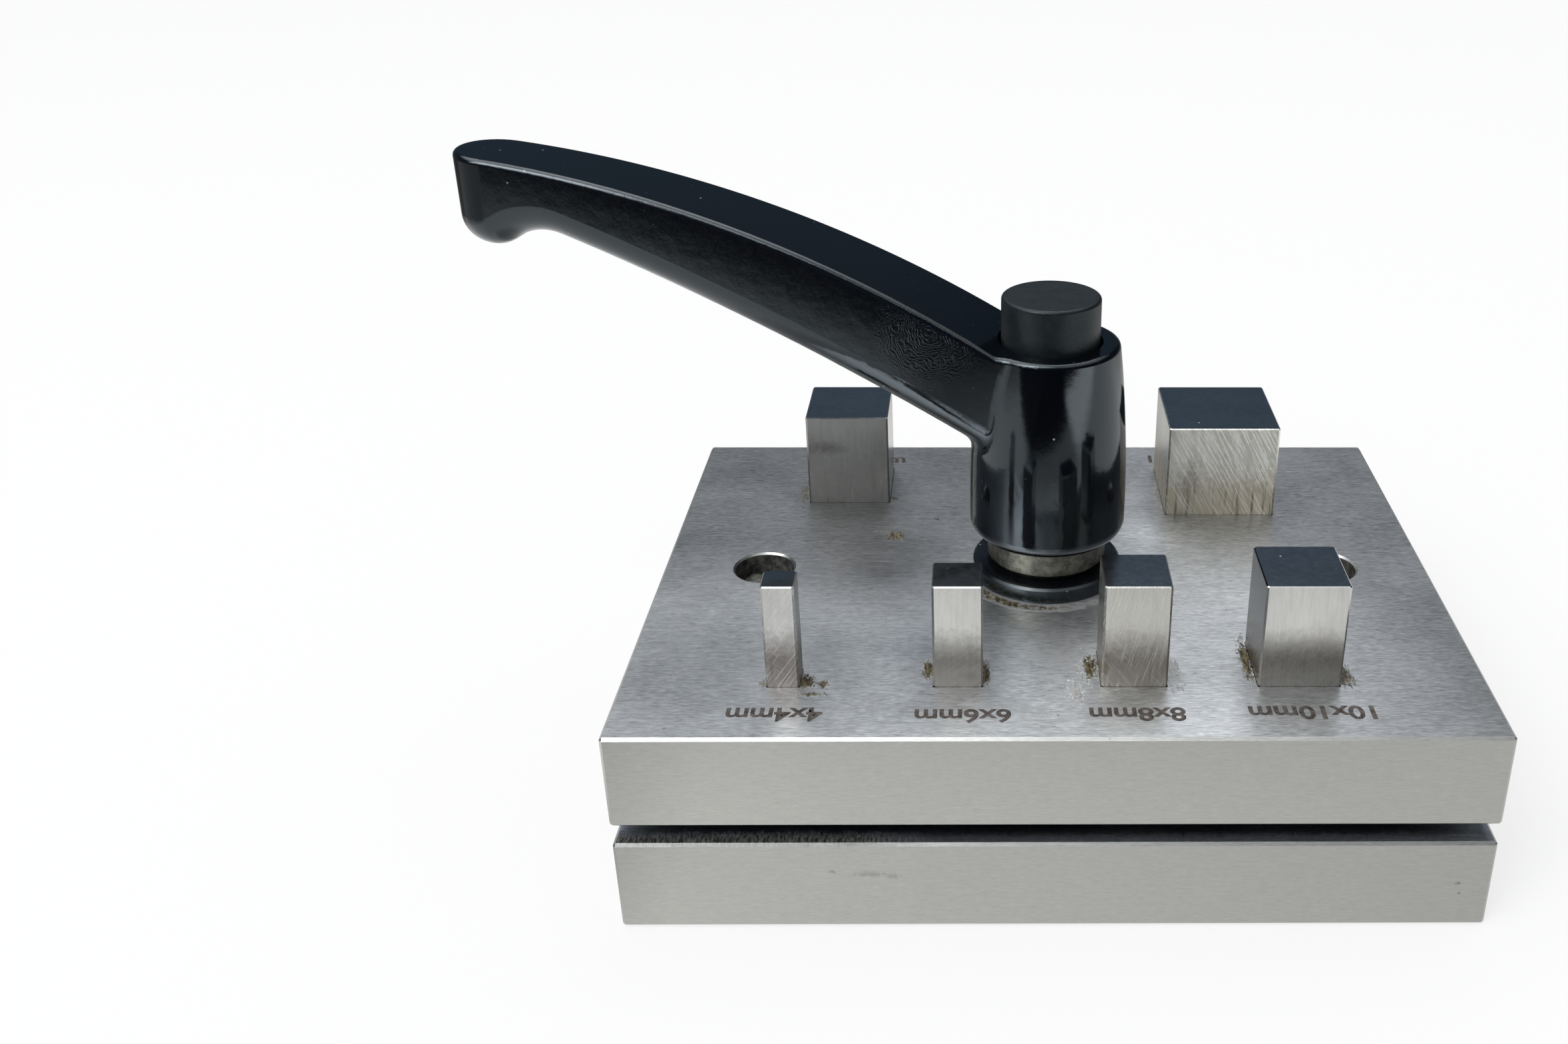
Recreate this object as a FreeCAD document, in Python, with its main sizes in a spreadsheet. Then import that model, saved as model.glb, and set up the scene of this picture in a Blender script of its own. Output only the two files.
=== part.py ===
import FreeCAD, Part
import math
import os
import re
import Sketcher

# Square disc cutter: a die plate and a guide plate with six loose square punches,
# clamped by a screw with an adjustable lever. Millimetres, +Z up. The origin is the
# middle of the die plate's underside, X runs left to right and Y front to back.

doc = FreeCAD.newDocument("disc_cutter")

# Driving sizes

SIZES = [
    ("plate_width", 105.0, "both plates, left to right"),
    ("plate_depth", 80.0, "both plates, front to back"),
    ("plate_thick", 12.5, "each plate"),
    ("plate_gap", 2.6, "slot between the plates for the sheet"),
    ("plate_edge", 0.35, "edge break round both plates"),
    ("bore_edge", 0.25, "edge break at the round bores"),
    ("punch_length", 41.4, "every punch, standing on the bench through the plates"),
    ("punch_fit", 0.05, "clearance on each side of a punch"),
    ("punch_edge", 0.25, "edge break along the punches"),
    ("punch_top_edge", 0.15, "edge break round the top of a punch"),
    ("front_row", 29.5, "front faces of the front row, forward of the middle"),
    ("back_row", 31.8, "back faces of the back row, behind the middle"),
    ("side_four", 4.0, "square punch"),
    ("side_six", 6.0, "square punch"),
    ("side_eight", 8.0, "square punch"),
    ("side_ten", 10.0, "square punch"),
    ("side_twelve", 12.0, "square punch"),
    ("side_sixteen", 16.0, "square punch"),
    ("place_four", -32.7, "middle of the punch, left or right of the screw"),
    ("place_six", -11.7, "middle of the punch, left or right of the screw"),
    ("place_eight", 9.5, "middle of the punch, left or right of the screw"),
    ("place_ten", 29.4, "middle of the punch, left or right of the screw"),
    ("place_twelve", -28.6, "middle of the punch, left or right of the screw"),
    ("place_sixteen", 26.2, "middle of the punch, left or right of the screw"),
    ("die_land", 5.0, "cutting depth of each die hole"),
    ("die_relief", 0.75, "step to the wider hole under the land, each side"),
    ("pin_diameter", 8.0, "guide pins"),
    ("pin_spread", 77.5, "between the two guide pins"),
    ("pin_sink", 2.5, "pin ends below the guide plate's top"),
    ("pin_edge", 0.8, "chamfer at the ends of the pins"),
    ("running_fit", 0.05, "radial clearance of a sliding shaft"),
    ("screw_diameter", 10.0, "clamping screw"),
    ("screw_reach", 3.2, "lower end of the screw above the bench"),
    ("screw_edge", 1.2, "chamfer at the ends of the screw"),
    ("screw_passage", 11.0, "clearance hole in the guide plate"),
    ("spring_wire", 1.4, "lift spring between the plates"),
    ("spring_outside", 15.0, "lift spring, outside diameter"),
    ("spring_turns", 4.5, "lift spring"),
    ("spring_room", 16.0, "pockets for the lift spring, diameter"),
    ("pocket_above", 5.5, "depth of the pocket in the guide plate"),
    ("pocket_below", 3.0, "depth of the pocket in the die plate"),
    ("washer_diameter", 20.0, "thrust washer"),
    ("washer_hole", 10.6, "thrust washer"),
    ("washer_thick", 2.1, "thrust washer"),
    ("washer_edge", 0.3, "thrust washer"),
    ("collar_diameter", 16.0, "collar of the toothed insert"),
    ("collar_edge", 0.9, "chamfer under the collar"),
    ("hub_foot", 6.4, "underside of the lever's hub above the guide plate"),
    ("screw_grip", 5.6, "screw inside the insert above the washer"),
    ("tooth_count", 24, "serration between insert and lever"),
    ("tooth_tip", 7.0, "outer radius of the serration"),
    ("tooth_root", 6.3, "inner radius of the serration"),
    ("tooth_long", 3.6, "length of the serration"),
    ("tooth_fit", 0.08, "clearance in the serration"),
    ("gap_root_share", 0.2, "tooth gap at the root, share of the pitch"),
    ("gap_tip_share", 0.74, "tooth gap at the tip, share of the pitch"),
    ("tooth_relief", 0.2, "free length past the ends of the serration"),
    ("neck_diameter", 8.0, "neck of the insert that the lever slides on"),
    ("neck_top", 26.0, "end of the neck above the guide plate"),
    ("cap_screw_diameter", 5.0, "screw that holds the lever on the insert"),
    ("cap_screw_depth", 12.0, "its shank in the neck"),
    ("flange_diameter", 12.0, "its flange over the lever's spring"),
    ("flange_thick", 1.6, "its flange"),
    ("head_diameter", 8.5, "its head"),
    ("head_high", 4.4, "its head above the flange"),
    ("socket_flats", 4.0, "hexagon socket in its head"),
    ("socket_deep", 2.6, "hexagon socket in its head"),
    ("button_diameter", 12.8, "button on top of the hub"),
    ("button_top", 39.3, "top of the button above the guide plate"),
    ("button_edge", 0.45, "rounding of the button"),
    ("button_gap", 0.2, "under the button, over the flange"),
    ("hub_bore", 13.6, "round the button and the lever's spring"),
    ("hub_low_radius", 10.4, "hub at its foot"),
    ("hub_top_radius", 9.0, "hub at its rim"),
    ("hub_side_arc", 180.0, "radius of the hub's bulging side"),
    ("hub_top", 33.3, "rim of the hub above the guide plate"),
    ("hub_foot_round", 2.0, "rounding at the hub's foot"),
    ("hub_floor", 14.0, "shoulder under the lever's spring"),
    ("coil_wire", 0.9, "lever's spring"),
    ("coil_outside", 10.6, "lever's spring, outside diameter"),
    ("coil_turns", 6.0, "lever's spring"),
    ("lever_angle", 10.0, "arm turned back from straight left, in degrees"),
    ("arm_reach", 78.1, "tip of the arm from the screw"),
    ("arm_root_inset", 0.9, "arm's width at the screw narrower than the hub's rim, each side"),
    ("arm_tip_half", 5.9, "radius of the arm's tip in plan"),
    ("arm_top_radius", 170.0, "arc of the arm's top line"),
    ("arm_top_join", 2.0, "hollow arc between the arm's top line and the hub's top"),
    ("join_margin", 1.4, "from the end of that arc to where the arm's sides meet the rim"),
    ("arm_root_low", 15.5, "arm's lower line at the screw"),
    ("arm_low_radius", 400.0, "arc of the arm's lower line"),
    ("grip_place", 65.8, "finger hollow from the screw"),
    ("grip_high", 45.2, "finger hollow above the guide plate"),
    ("grip_radius", 7.6, "finger hollow"),
    ("lobe_drop", 2.3, "underside of the tip below the finger hollow"),
    ("tip_depth", 12.3, "arm's depth at the tip"),
    ("lobe_radius", 4.6, "from the finger hollow to the tip"),
    ("top_round", 0.7, "upper edges of the arm and rim of the hub"),
    ("arm_low_round", 4.0, "lower edges of the arm"),
    ("root_round", 3.5, "between the arm and the hub"),
    ("cut_margin", 5.0, "how far a cutting outline reaches past the part"),
]

sizes = doc.addObject("Spreadsheet::Sheet", "sizes")
for row, (alias, number, note) in enumerate(SIZES, 1):
    sizes.set("A%d" % row, note)
    sizes.set("B%d" % row, str(number))
    sizes.setAlias("B%d" % row, alias)
doc.recompute()
KNOWN = {alias for alias, number, note in SIZES}

CLOSE = 0.01  # how near an edge lies to the line that it is picked by


def tied(formula):
    return re.sub("[a-z_]+", lambda word: "sizes." + word[0] if word[0] in KNOWN else word[0], str(formula))


def value(formula):
    found = sizes.evalExpression(re.sub("sizes[.]", "", tied(formula)))
    return float(getattr(found, "Value", found))


# Building blocks

def new_body(label, base="0"):
    body = doc.addObject("PartDesign::Body", label)
    body.Label = label
    body.setExpression("Placement.Base.z", tied(base))
    return body


def new_sketch(body, plane, name, offset="0"):
    sketch = body.newObject("Sketcher::SketchObject", name)
    role = {"top": "XY_Plane", "front": "XZ_Plane"}[plane]
    origin = [feature for feature in body.Origin.OriginFeatures if feature.Role == role][0]
    sketch.AttachmentSupport = [(origin, "")]
    sketch.MapMode = "FlatFace"
    sketch.setExpression("AttachmentOffset.Base.z", tied(offset))
    return sketch


def pin_point(sketch, geometry, end, across, along):
    for kind, formula in (("DistanceX", across), ("DistanceY", along)):
        index = sketch.addConstraint(Sketcher.Constraint(kind, -1, 1, geometry, end, value(formula)))
        sketch.setExpression("Constraints[%d]" % index, tied(formula))


def outline(sketch, corners):
    points = [FreeCAD.Vector(value(across), value(along), 0) for across, along in corners]
    first = sketch.GeometryCount
    for start, stop in zip(points, points[1:] + points[:1]):
        sketch.addGeometry(Part.LineSegment(start, stop))
    count = len(corners)
    for step, (across, along) in enumerate(corners):
        after = first + (step + 1) % count
        sketch.addConstraint(Sketcher.Constraint("Coincident", first + step, 2, after, 1))
        pin_point(sketch, first + step, 1, across, along)


def ring(sketch, across, along, diameter):
    centre = FreeCAD.Vector(value(across), value(along), 0)
    circle = sketch.addGeometry(Part.Circle(centre, FreeCAD.Vector(0, 0, 1), value(diameter) / 2))
    pin_point(sketch, circle, 3, across, along)
    index = sketch.addConstraint(Sketcher.Constraint("Diameter", circle, value(diameter)))
    sketch.setExpression("Constraints[%d]" % index, tied(diameter))


def square(sketch, across, along, half):
    outline(sketch, [("%s%s(%s)" % (across, a, half), "%s%s(%s)" % (along, b, half))
                     for a, b in (("-", "-"), ("+", "-"), ("+", "+"), ("-", "+"))])


def pad(body, sketch, name, length):
    feature = body.newObject("PartDesign::Pad", name)
    feature.Profile = sketch
    feature.setExpression("Length", tied(length))
    doc.recompute()
    return feature


def cut(body, sketch, name, depth=None, upward=False):
    before = body.Shape.Volume
    feature = body.newObject("PartDesign::Pocket", name)
    feature.Profile = sketch
    feature.Reversed = upward
    if depth is None:
        feature.Type = "ThroughAll"
    else:
        feature.setExpression("Length", tied(depth))
    doc.recompute()
    if not body.Shape.Volume < before:
        raise RuntimeError(name + " cut nothing")
    return feature


def turn(body, sketch, name):
    feature = body.newObject("PartDesign::Revolution", name)
    feature.Profile = sketch
    feature.ReferenceAxis = (sketch, ["V_Axis"])
    feature.Angle = 360
    doc.recompute()
    return feature


def soften(body, kind, name, edges, size):
    base = body.Tip
    feature = body.newObject("PartDesign::" + kind, name)
    feature.Base = (base, edges)
    feature.setExpression("Radius" if kind == "Fillet" else "Size", tied(size))
    doc.recompute()
    return feature


def edges_where(shape, test):
    return ["Edge%d" % number for number, edge in enumerate(shape.Edges, 1) if test(edge)]


def round_edges(shape, radius, height):
    def test(edge):
        if edge.Curve.TypeId != "Part::GeomCircle":
            return False
        near = abs(edge.Curve.Center.z - height) < CLOSE
        return near and abs(edge.Curve.Radius - radius) < CLOSE
    return edges_where(shape, test)


def turned(label, corners, base="0"):
    body = new_body(label, base)
    sketch = new_sketch(body, "front", label + "_profile")
    outline(sketch, corners)
    turn(body, sketch, label + "_turned")
    return body


PUNCHES = [("four", "front", "punch_4mm"), ("six", "front", "punch_6mm"), ("eight", "front", "punch_8mm"),
           ("ten", "front", "punch_10mm"), ("twelve", "back", "punch_12mm"), ("sixteen", "back", "punch_16mm")]
PLATE_TOP = "plate_thick*2+plate_gap"


def punch_place(word, row):
    if row == "front":
        return "place_" + word, "(side_%s/2-front_row)" % word
    return "place_" + word, "(back_row-side_%s/2)" % word


# The two plates

def plate(label, base):
    body = new_body(label, base)
    sketch = new_sketch(body, "top", label + "_outline")
    outline(sketch, [("%splate_width/2" % a, "%splate_depth/2" % b)
                     for a, b in (("-", "-"), ("", "-"), ("", ""), ("-", ""))])
    pad(body, sketch, label + "_slab", "plate_thick")
    soften(body, "Chamfer", label + "_edges", edges_where(body.Shape, lambda edge: True), "plate_edge")
    holes = new_sketch(body, "top", label + "_square_holes", "plate_thick")
    for word, row, node in PUNCHES:
        across, along = punch_place(word, row)
        square(holes, across, along, "side_%s/2+punch_fit" % word)
    cut(body, holes, label + "_square_passages")
    return body


def round_hole(body, name, across, diameter, offset="plate_thick", depth=None, upward=False):
    sketch = new_sketch(body, "top", name + "_ring", offset)
    for place in across:
        ring(sketch, place, "0", diameter)
    return cut(body, sketch, name, depth, upward)


def lower_plate():
    body = plate("lower_plate", "0")
    relief = new_sketch(body, "top", "die_relief_squares")
    for word, row, node in PUNCHES:
        across, along = punch_place(word, row)
        square(relief, across, along, "side_%s/2+punch_fit+die_relief" % word)
    cut(body, relief, "die_reliefs", "plate_thick-die_land", upward=True)
    round_hole(body, "pin_seats", ("-pin_spread/2", "pin_spread/2"), "pin_diameter")
    round_hole(body, "screw_hole", ("0",), "screw_diameter+2*running_fit")
    round_hole(body, "spring_pocket", ("0",), "spring_room", depth="pocket_below")
    mouths = round_edges(body.Shape, value("spring_room/2"), value("plate_thick"))
    soften(body, "Chamfer", "lower_plate_mouths", mouths, "bore_edge")
    return body


def upper_plate():
    body = plate("upper_plate", "plate_thick+plate_gap")
    round_hole(body, "guide_bores", ("-pin_spread/2", "pin_spread/2"), "pin_diameter+2*running_fit")
    round_hole(body, "screw_passage_hole", ("0",), "screw_passage")
    round_hole(body, "spring_pocket_above", ("0",), "spring_room", "0", "pocket_above", upward=True)
    mouths = []
    for height in ("plate_thick+plate_gap", PLATE_TOP):
        mouths += round_edges(body.Shape, value("pin_diameter/2+running_fit"), value(height))
    soften(body, "Chamfer", "upper_plate_mouths", mouths, "bore_edge")
    return body


# Guide pins, punches and the springs

def guide_pin(label, across):
    long = "plate_thick*2+plate_gap-pin_sink"
    body = turned(label, [("0", "0"), ("pin_diameter/2-pin_edge", "0"), ("pin_diameter/2", "pin_edge"),
                          ("pin_diameter/2", long + "-pin_edge"), ("pin_diameter/2-pin_edge", long),
                          ("0", long)])
    body.setExpression("Placement.Base.x", tied(across))
    return body


def punch(word, row, label):
    body = new_body(label)
    across, along = punch_place(word, row)
    body.setExpression("Placement.Base.x", tied(across))
    body.setExpression("Placement.Base.y", tied(along))
    sketch = new_sketch(body, "top", label + "_section")
    square(sketch, "0", "0", "side_%s/2" % word)
    pad(body, sketch, label + "_bar", "punch_length")
    upright = edges_where(body.Shape, lambda edge: abs(edge.Vertexes[0].Z - edge.Vertexes[-1].Z) > CLOSE)
    soften(body, "Chamfer", label + "_edges", upright, "punch_edge")
    level = value("punch_length") - CLOSE
    tops = edges_where(body.Shape, lambda edge: min(vertex.Z for vertex in edge.Vertexes) > level)
    soften(body, "Chamfer", label + "_top_edges", tops, "punch_top_edge")
    return body


def coil(label, base, wire, outside, turns, length):
    body = new_body(label, base)
    sketch = new_sketch(body, "front", label + "_wire")
    ring(sketch, "(%s-%s)/2" % (outside, wire), "%s/2" % wire, wire)
    feature = body.newObject("PartDesign::AdditiveHelix", label + "_helix")
    feature.Profile = sketch
    feature.ReferenceAxis = (sketch, ["V_Axis"])
    feature.Mode = "height-turns-angle"
    feature.setExpression("Height", tied("%s-%s" % (length, wire)))
    feature.setExpression("Turns", tied(turns))
    doc.recompute()
    return body


# Clamp: washer, screw, toothed insert, retaining screw and button

def thrust_washer():
    return turned("thrust_washer", [
        ("washer_hole/2", "0"), ("washer_diameter/2", "0"),
        ("washer_diameter/2", "washer_thick-washer_edge"),
        ("washer_diameter/2-washer_edge", "washer_thick"), ("washer_hole/2", "washer_thick")], PLATE_TOP)


def clamp_screw():
    low = "screw_reach-(%s)" % PLATE_TOP
    high = "washer_thick+screw_grip"
    return turned("clamp_screw", [
        ("0", low), ("screw_diameter/2-screw_edge", low), ("screw_diameter/2", low + "+screw_edge"),
        ("screw_diameter/2", high + "-screw_edge"), ("screw_diameter/2-screw_edge", high),
        ("0", high)], PLATE_TOP)


def tooth_gaps(body, name, low, long, middle, points):
    """One tooth gap, as (radius, half angle) from its foot to its mouth, repeated round the axis."""
    sketch = new_sketch(body, "top", name + "_section", low)
    sides = [("-", point) for point in points] + [("+", point) for point in reversed(points)]
    outline(sketch, [("(%s)*cos(%s%s(%s))" % (radius, middle, sign, half),
                      "(%s)*sin(%s%s(%s))" % (radius, middle, sign, half))
                     for sign, (radius, half) in sides])
    first = cut(body, sketch, name, long, upward=True)
    pattern = body.newObject("PartDesign::PolarPattern", name + "_pattern")
    pattern.Originals = [first]
    pattern.Axis = (sketch, ["N_Axis"])
    pattern.Angle = 360
    pattern.setExpression("Occurrences", tied("tooth_count"))
    body.Tip = pattern
    doc.recompute()


def lever_insert():
    body = turned("lever_insert", [
        ("0", "washer_thick+screw_grip"), ("screw_diameter/2", "washer_thick+screw_grip"),
        ("screw_diameter/2", "washer_thick"), ("collar_diameter/2-collar_edge", "washer_thick"),
        ("collar_diameter/2", "washer_thick+collar_edge"), ("collar_diameter/2", "hub_foot"),
        ("tooth_tip", "hub_foot"), ("tooth_tip", "hub_foot+tooth_long"),
        ("neck_diameter/2", "hub_foot+tooth_long"), ("neck_diameter/2", "neck_top"),
        ("cap_screw_diameter/2", "neck_top"), ("cap_screw_diameter/2", "neck_top-cap_screw_depth"),
        ("0", "neck_top-cap_screw_depth")], PLATE_TOP)
    tooth_gaps(body, "insert_gap", "hub_foot", "tooth_long+tooth_relief", "0", [
        ("tooth_root", "180/tooth_count*gap_root_share"), ("tooth_tip", "180/tooth_count*gap_tip_share"),
        ("tooth_tip+tooth_relief", "180/tooth_count*gap_tip_share")])
    return body


def retaining_screw():
    body = turned("retaining_screw", [
        ("0", "neck_top-cap_screw_depth"), ("cap_screw_diameter/2", "neck_top-cap_screw_depth"),
        ("cap_screw_diameter/2", "neck_top"), ("flange_diameter/2", "neck_top"),
        ("flange_diameter/2", "neck_top+flange_thick"), ("head_diameter/2", "neck_top+flange_thick"),
        ("head_diameter/2", "neck_top+flange_thick+head_high"),
        ("0", "neck_top+flange_thick+head_high")], PLATE_TOP)
    socket = new_sketch(body, "top", "socket_hexagon", "neck_top+flange_thick+head_high")
    outline(socket, [("socket_flats/sqrt(3)*cos(%d)" % angle, "socket_flats/sqrt(3)*sin(%d)" % angle)
                     for angle in range(0, 360, 60)])
    cut(body, socket, "hexagon_socket", "socket_deep")
    return body


def release_button():
    low = "neck_top+flange_thick+button_gap"
    seat = "neck_top+flange_thick+head_high"
    body = turned("release_button", [
        ("head_diameter/2", low), ("button_diameter/2", low), ("button_diameter/2", "button_top"),
        ("0", "button_top"), ("0", seat), ("head_diameter/2", seat)], PLATE_TOP)
    rim = round_edges(body.Shape, value("button_diameter/2"), value(PLATE_TOP) + value("button_top"))
    soften(body, "Fillet", "button_rounding", rim, "button_edge")
    return body


# The lever: a lofty arm on a hub, bored for the insert, its spring and the button

ROOT_HALF = "hub_top_radius-arm_root_inset"
LOBE_LOW = "grip_high-lobe_drop"
TIP_TOP = LOBE_LOW + "+tip_depth"


def join_place():
    """Where the arm's top line has come down to the hub's top, left of its sides' meeting the rim."""
    return -math.sqrt(value("hub_top_radius") ** 2 - value(ROOT_HALF) ** 2) - value("join_margin")


def arm_lines():
    """Centres and joints of the arcs that make the arm's side outline, with x to the left negative."""
    lobe_y = value(LOBE_LOW + "+lobe_radius")
    grip = FreeCAD.Vector(-value("grip_place"), value("grip_high-grip_radius"), 0)
    apart = value("grip_radius+lobe_radius")
    lobe_x = grip.x - math.sqrt(apart ** 2 - (lobe_y - grip.y) ** 2)
    lobe = FreeCAD.Vector(lobe_x, lobe_y, 0)
    lobe_to_grip = grip + (lobe - grip) * (value("grip_radius") / apart)
    root_low = FreeCAD.Vector(0, value("arm_root_low"), 0)
    low_centre = below(root_low, value("arm_low_radius"), grip, value("arm_low_radius-grip_radius"))
    low_to_grip = low_centre + (grip - low_centre).normalize() * value("arm_low_radius")
    tip_top = FreeCAD.Vector(-value("arm_reach"), value(TIP_TOP), 0)
    join = FreeCAD.Vector(join_place(), value("hub_top+arm_top_join"), 0)
    top_centre = below(join, value("arm_top_radius+arm_top_join"), tip_top, value("arm_top_radius"))
    top_to_join = top_centre + (join - top_centre).normalize() * value("arm_top_radius")
    return (lobe, grip, lobe_to_grip, root_low, low_centre, low_to_grip, join, top_to_join, tip_top,
            top_centre)


def below(one, one_radius, other, other_radius):
    """The lower of the two points that lie at given distances from two others."""
    between = other - one
    distance = between.Length
    along = (one_radius ** 2 - other_radius ** 2 + distance ** 2) / (2 * distance)
    aside = math.sqrt(one_radius ** 2 - along ** 2)
    unit = FreeCAD.Vector(between).normalize()
    square_to = FreeCAD.Vector(-unit.y, unit.x, 0)
    found = [one + unit * along + square_to * (aside * sign) for sign in (1, -1)]
    return min(found, key=lambda point: point.y)


def arc(sketch, centre, start, stop):
    angles = [math.atan2(point.y - centre.y, point.x - centre.x) for point in (start, stop)]
    if angles[1] < angles[0]:
        angles[1] += 2 * math.pi
    circle = Part.Circle(centre, FreeCAD.Vector(0, 0, 1), (start - centre).Length)
    return sketch.addGeometry(Part.ArcOfCircle(circle, angles[0], angles[1]))


def arm_side(body):
    sketch = new_sketch(body, "front", "arm_side_outline")
    (lobe, grip, lobe_to_grip, root_low, low_centre, low_to_grip, join, top_to_join, tip_top,
     top_centre) = arm_lines()
    tip_low = FreeCAD.Vector(tip_top.x, value(LOBE_LOW), 0)
    lobe_foot = FreeCAD.Vector(lobe.x, value(LOBE_LOW), 0)
    root_top = FreeCAD.Vector(0, value("hub_top"), 0)
    join_foot = FreeCAD.Vector(join.x, value("hub_top"), 0)
    root = sketch.addGeometry(Part.LineSegment(root_low, root_top))
    level = sketch.addGeometry(Part.LineSegment(root_top, join_foot))
    join_arc = arc(sketch, join, top_to_join, join_foot)
    top = arc(sketch, top_centre, top_to_join, tip_top)
    tip = sketch.addGeometry(Part.LineSegment(tip_top, tip_low))
    flat = sketch.addGeometry(Part.LineSegment(tip_low, lobe_foot))
    lobe_arc = arc(sketch, lobe, lobe_foot, lobe_to_grip)
    grip_arc = arc(sketch, grip, low_to_grip, lobe_to_grip)
    low_arc = arc(sketch, low_centre, root_low, low_to_grip)
    for one, one_end, other, other_end in ((root, 2, level, 1), (top, 2, tip, 1), (tip, 2, flat, 1),
                                           (low_arc, 1, root, 1)):
        sketch.addConstraint(Sketcher.Constraint("Coincident", one, one_end, other, other_end))
    for one, one_end, other, other_end in ((level, 2, join_arc, 2), (join_arc, 1, top, 1),
                                           (flat, 2, lobe_arc, 1), (lobe_arc, 2, grip_arc, 2),
                                           (grip_arc, 1, low_arc, 2)):
        sketch.addConstraint(Sketcher.Constraint("Tangent", one, one_end, other, other_end))
    pin_point(sketch, root, 1, "0", "arm_root_low")
    pin_point(sketch, root, 2, "0", "hub_top")
    pin_point(sketch, level, 2, "-sqrt(hub_top_radius^2-(%s)^2)-join_margin" % ROOT_HALF, "hub_top")
    pin_point(sketch, tip, 1, "-arm_reach", TIP_TOP)
    pin_point(sketch, tip, 2, "-arm_reach", LOBE_LOW)
    pin_point(sketch, grip_arc, 3, "-grip_place", "grip_high-grip_radius")
    sketch.addConstraint(Sketcher.Constraint("Horizontal", flat))
    for curve, radius in ((top, "arm_top_radius"), (join_arc, "arm_top_join"), (lobe_arc, "lobe_radius"),
                          (grip_arc, "grip_radius"), (low_arc, "arm_low_radius")):
        index = sketch.addConstraint(Sketcher.Constraint("Radius", curve, value(radius)))
        sketch.setExpression("Constraints[%d]" % index, tied(radius))
    feature = pad(body, sketch, "arm_bar", "2*(%s)+cut_margin" % ROOT_HALF)
    feature.SideType = "Symmetric"
    doc.recompute()
    return feature


def arm_plan(body):
    sketch = new_sketch(body, "top", "arm_plan_outline")
    wide = ROOT_HALF + "+cut_margin"
    outline(sketch, [("cut_margin", "-(%s)" % wide), ("cut_margin", wide), ("-arm_reach-cut_margin", wide),
                     ("-arm_reach-cut_margin", "-(%s)" % wide)])
    half = value(ROOT_HALF)
    radius = value("arm_tip_half")
    centre = FreeCAD.Vector(-value("arm_reach-arm_tip_half"), 0, 0)
    corner = FreeCAD.Vector(0, half, 0) - centre
    turn_by = math.atan2(corner.y, corner.x) + math.acos(radius / corner.Length)
    touch = centre + FreeCAD.Vector(math.cos(turn_by), math.sin(turn_by), 0) * radius
    mirrored = FreeCAD.Vector(touch.x, -touch.y, 0)
    end = arc(sketch, centre, touch, mirrored)
    far = sketch.addGeometry(Part.LineSegment(FreeCAD.Vector(0, half, 0), touch))
    near = sketch.addGeometry(Part.LineSegment(mirrored, FreeCAD.Vector(0, -half, 0)))
    root = sketch.addGeometry(Part.LineSegment(FreeCAD.Vector(0, -half, 0), FreeCAD.Vector(0, half, 0)))
    sketch.addConstraint(Sketcher.Constraint("Tangent", far, 2, end, 1))
    sketch.addConstraint(Sketcher.Constraint("Tangent", end, 2, near, 1))
    sketch.addConstraint(Sketcher.Constraint("Coincident", near, 2, root, 1))
    sketch.addConstraint(Sketcher.Constraint("Coincident", root, 2, far, 1))
    pin_point(sketch, root, 1, "0", "-(%s)" % ROOT_HALF)
    pin_point(sketch, root, 2, "0", ROOT_HALF)
    pin_point(sketch, end, 3, "-arm_reach+arm_tip_half", "0")
    index = sketch.addConstraint(Sketcher.Constraint("Radius", end, radius))
    sketch.setExpression("Constraints[%d]" % index, tied("arm_tip_half"))
    return cut(body, sketch, "arm_sides", upward=True)


def hub(body):
    sketch = new_sketch(body, "front", "hub_profile")
    low = FreeCAD.Vector(value("hub_low_radius"), value("hub_foot"), 0)
    high = FreeCAD.Vector(value("hub_top_radius"), value("hub_top"), 0)
    axis_low = FreeCAD.Vector(0, low.y, 0)
    axis_high = FreeCAD.Vector(0, high.y, 0)
    aside = (high - low).normalize().cross(FreeCAD.Vector(0, 0, -1))
    depth = math.sqrt(value("hub_side_arc") ** 2 - ((high - low).Length / 2) ** 2)
    centre = (low + high) / 2 + aside * depth
    side = arc(sketch, centre, low, high)
    top = sketch.addGeometry(Part.LineSegment(high, axis_high))
    axis = sketch.addGeometry(Part.LineSegment(axis_high, axis_low))
    foot = sketch.addGeometry(Part.LineSegment(axis_low, low))
    for one, other in ((side, top), (top, axis), (axis, foot), (foot, side)):
        sketch.addConstraint(Sketcher.Constraint("Coincident", one, 2, other, 1))
    pin_point(sketch, foot, 1, "0", "hub_foot")
    pin_point(sketch, side, 1, "hub_low_radius", "hub_foot")
    pin_point(sketch, side, 2, "hub_top_radius", "hub_top")
    pin_point(sketch, axis, 1, "0", "hub_top")
    index = sketch.addConstraint(Sketcher.Constraint("Radius", side, value("hub_side_arc")))
    sketch.setExpression("Constraints[%d]" % index, tied("hub_side_arc"))
    turn(body, sketch, "hub")
    return centre


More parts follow.
